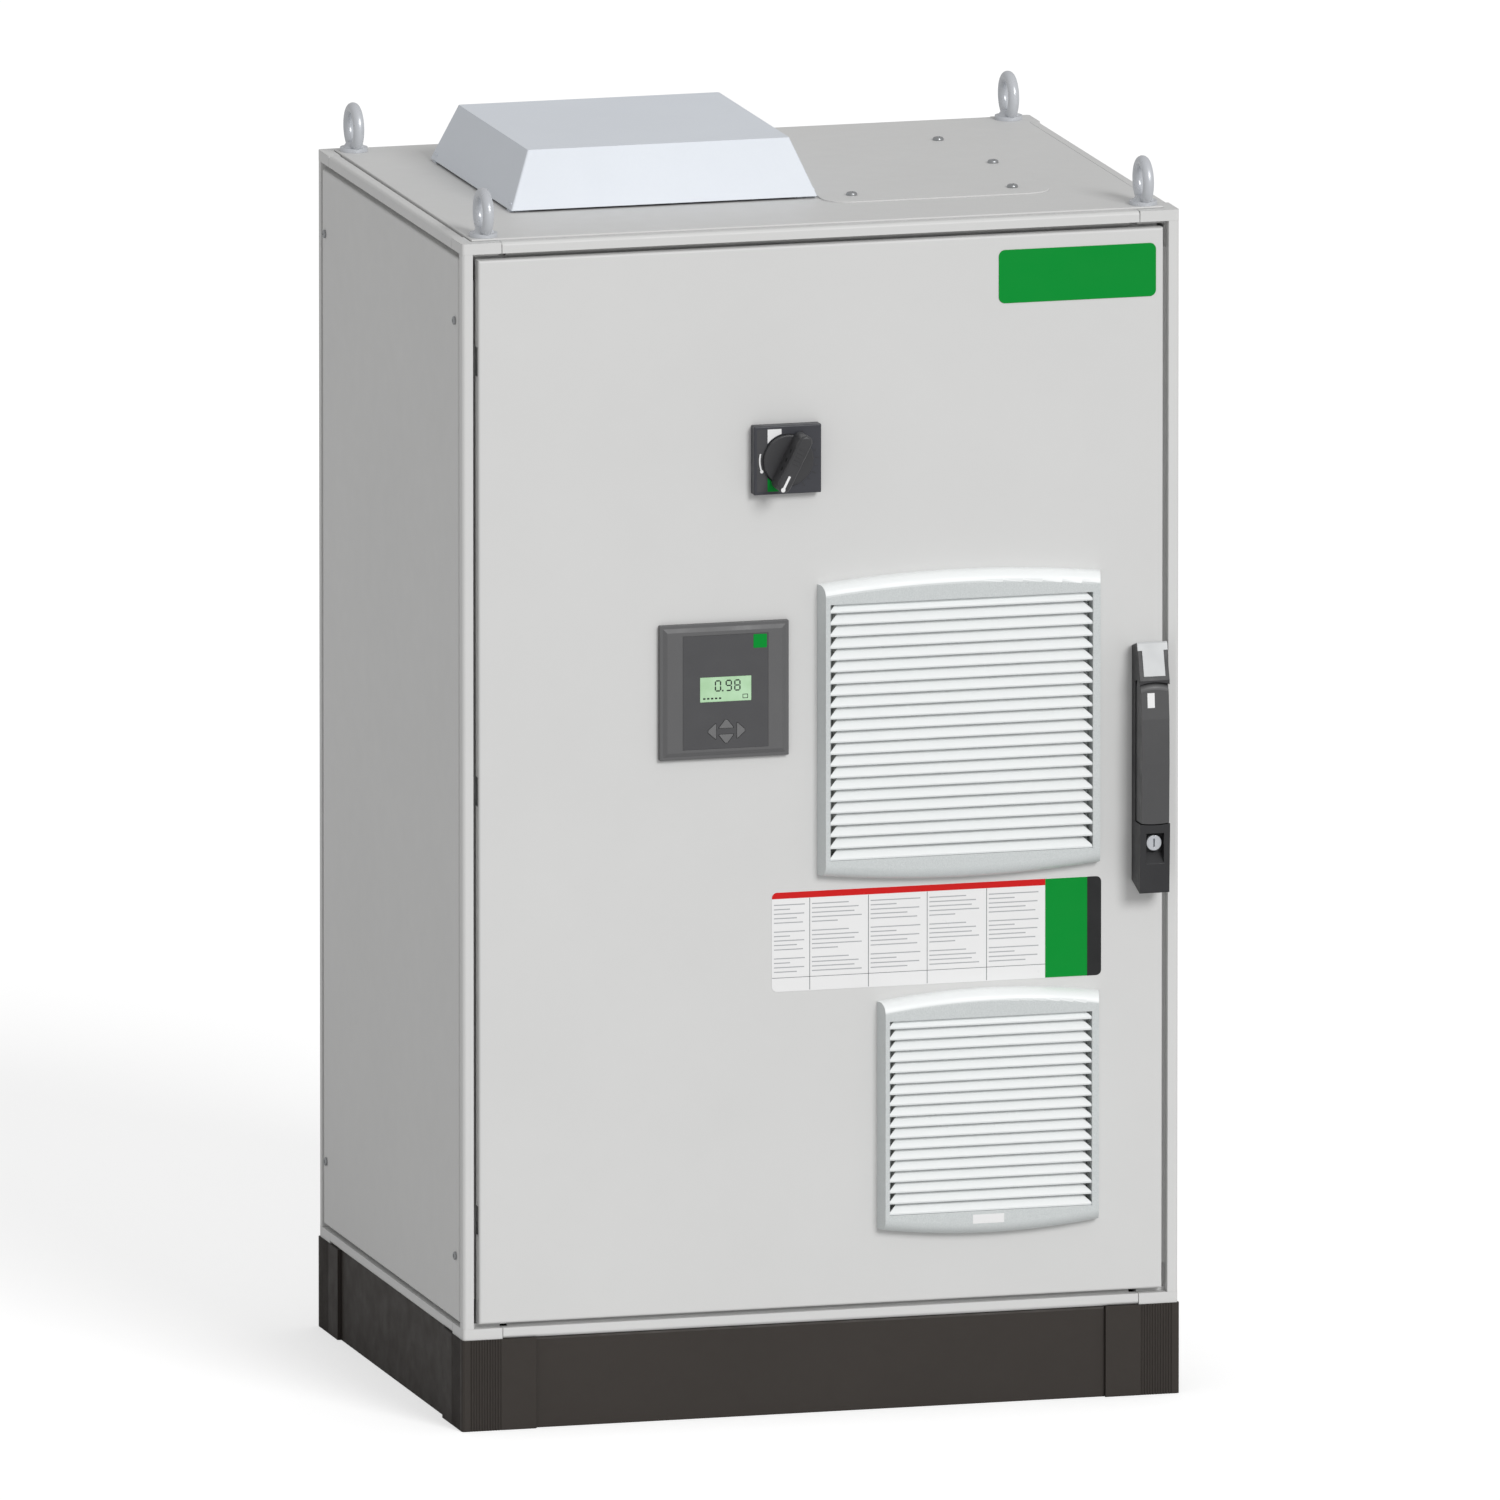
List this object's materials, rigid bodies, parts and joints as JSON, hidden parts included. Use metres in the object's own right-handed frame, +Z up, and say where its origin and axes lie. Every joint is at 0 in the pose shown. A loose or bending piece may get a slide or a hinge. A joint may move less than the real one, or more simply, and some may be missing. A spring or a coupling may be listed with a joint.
{
  "type": "power factor correction cabinet",
  "caption": "Floor-standing ventilated electrical cabinet with hinged door, swing handle, filter grilles, rotary main switch, controller and roof fan hood on a dark plinth.",
  "frame": {"origin": "on the floor, under the middle of the four floor bolt holes", "axes": "+Z up, door faces -Y, +X to the right when facing the door"},
  "size_m": [0.8052, 0.6471, 1.366],
  "materials": {
    "grey_coat": "satin powder coat",
    "plinth_coat": "matt powder coat",
    "zinc_steel": "zinc plated",
    "black_plastic": "moulded",
    "grey_plastic": "moulded",
    "pale_plastic": "moulded",
    "copper": "bright copper bar",
    "red_plastic": "moulded",
    "can_aluminium": "drawn can",
    "cable_black": "smooth sheath",
    "seal_foam": "foamed in place",
    "filter_fleece": "needled fleece",
    "switch_plastic": "moulded",
    "bezel_plastic": "moulded",
    "face_film": "printed film",
    "display": "liquid crystal window",
    "handle_black": "moulded",
    "handle_grey": "moulded",
    "key_plastic": "moulded"
  },
  "bodies": {
    "cabinet": {"plinth_corners": "plinth_coat", "plinth_end_panels": "plinth_coat", "plinth_side_panels": "plinth_coat", "frame_rails": "grey_coat", "base_corner_castings": "grey_coat", "corner_posts": "grey_coat", "top_corner_castings": "grey_coat", "side_panels": "grey_coat", "rear_panel": "grey_coat", "panel_screws": "zinc_steel", "roof_panel": "grey_coat", "roof_cover_plate": "grey_coat", "roof_cowl": "grey_coat", "roof_fan_frame": "black_plastic", "eye_bolts": "zinc_steel", "cable_entry_plate": "zinc_steel", "mounting_plate": "zinc_steel", "mounting_brackets": "zinc_steel", "main_breaker": "black_plastic", "breaker_operator": "grey_plastic", "busbars": "copper", "busbar_supports": "red_plastic", "contactors": "grey_plastic", "din_rails": "zinc_steel", "fuse_bases": "pale_plastic", "capacitors": "can_aluminium", "capacitor_terminals": "black_plastic", "capacitor_shelf": "zinc_steel", "terminal_block": "grey_plastic", "wiring_ducts": "grey_plastic", "power_cables": "cable_black", "hinge_brackets": "zinc_steel", "hinge_pins": "zinc_steel"},
    "door": {"door_panel": "grey_coat", "door_stiffeners": "grey_coat", "door_gasket": "seal_foam", "hinge_leaves": "zinc_steel", "upper_grille": "pale_plastic", "lower_grille": "pale_plastic", "filter_mats": "filter_fleece", "switch_base": "switch_plastic", "controller_housing": "bezel_plastic", "controller_face": "face_film", "controller_display": "display", "handle_base": "handle_black", "handle_cap": "pale_plastic", "rod_guides": "zinc_steel", "door_cable_loom": "cable_black"},
    "fan_impeller": {"fan_impeller": "black_plastic"},
    "extension_shaft": {"extension_shaft": "zinc_steel"},
    "switch_knob": {"switch_knob": "switch_plastic"},
    "handle_spindle": {"handle_spindle": "zinc_steel"},
    "handle_lever": {"handle_lever": "handle_grey"},
    "upper_lock_rod": {"upper_lock_rod": "zinc_steel"},
    "lower_lock_rod": {"lower_lock_rod": "zinc_steel"},
    "lock_cylinder": {"lock_cylinder": "zinc_steel"},
    "key_up": {"key_up": "key_plastic"},
    "key_down": {"key_down": "key_plastic"},
    "key_left": {"key_left": "key_plastic"},
    "key_right": {"key_right": "key_plastic"}
  },
  "joints": [
    {"name": "door_swing", "type": "hinge", "parent": "cabinet", "child": "door", "pos_m": [-0.374, -0.292, 0.7], "axis": [0, 0, -1], "range_deg": [0, 120]},
    {"name": "switch_turn", "type": "hinge", "parent": "door", "child": "switch_knob", "pos_m": [-0.041, -0.3, 1.05], "axis": [0, 1, 0], "range_deg": [0, 126]},
    {"name": "shaft_turn", "type": "hinge", "parent": "cabinet", "child": "extension_shaft", "pos_m": [-0.041, -0.15, 1.05], "axis": [0, 1, 0], "range_deg": [0, 127]},
    {"name": "handle_turn", "type": "hinge", "parent": "door", "child": "handle_spindle", "pos_m": [0.3638, -0.3, 0.7355], "axis": [0, -1, 0], "range_deg": [0, 90]},
    {"name": "handle_lift", "type": "hinge", "parent": "handle_spindle", "child": "handle_lever", "pos_m": [0.3638, -0.321, 0.7795], "axis": [-1, 0, 0], "range_deg": [0, 25]},
    {"name": "upper_rod_slide", "type": "slide", "parent": "door", "child": "upper_lock_rod", "axis": [0, 0, -1], "range_m": [0, 0.0145]},
    {"name": "lower_rod_slide", "type": "slide", "parent": "door", "child": "lower_lock_rod", "axis": [0, 0, 1], "range_m": [0, 0.0145]},
    {"name": "lock_turn", "type": "hinge", "parent": "door", "child": "lock_cylinder", "pos_m": [0.3638, -0.32, 0.613], "axis": [0, 1, 0], "range_deg": [0, 90]},
    {"name": "key_up_press", "type": "slide", "parent": "door", "child": "key_up", "axis": [0, 1, 0], "range_m": [0, 0.0008], "stiffness_N_per_m": 300},
    {"name": "key_down_press", "type": "slide", "parent": "door", "child": "key_down", "axis": [0, 1, 0], "range_m": [0, 0.0008], "stiffness_N_per_m": 300},
    {"name": "key_left_press", "type": "slide", "parent": "door", "child": "key_left", "axis": [0, 1, 0], "range_m": [0, 0.0008], "stiffness_N_per_m": 300},
    {"name": "key_right_press", "type": "slide", "parent": "door", "child": "key_right", "axis": [0, 1, 0], "range_m": [0, 0.0008], "stiffness_N_per_m": 300},
    {"name": "fan_spin", "type": "hinge", "parent": "cabinet", "child": "fan_impeller", "pos_m": [-0.132, 0.0242, 1.25], "axis": [0, 0, 1], "continuous": true}
  ],
  "couplings": [
    {"joint": "shaft_turn", "follows": "switch_turn", "ratio": 1},
    {"joint": "upper_rod_slide", "follows": "handle_turn", "m_per_rad": 0.009},
    {"joint": "lower_rod_slide", "follows": "handle_turn", "m_per_rad": 0.009}
  ]
}
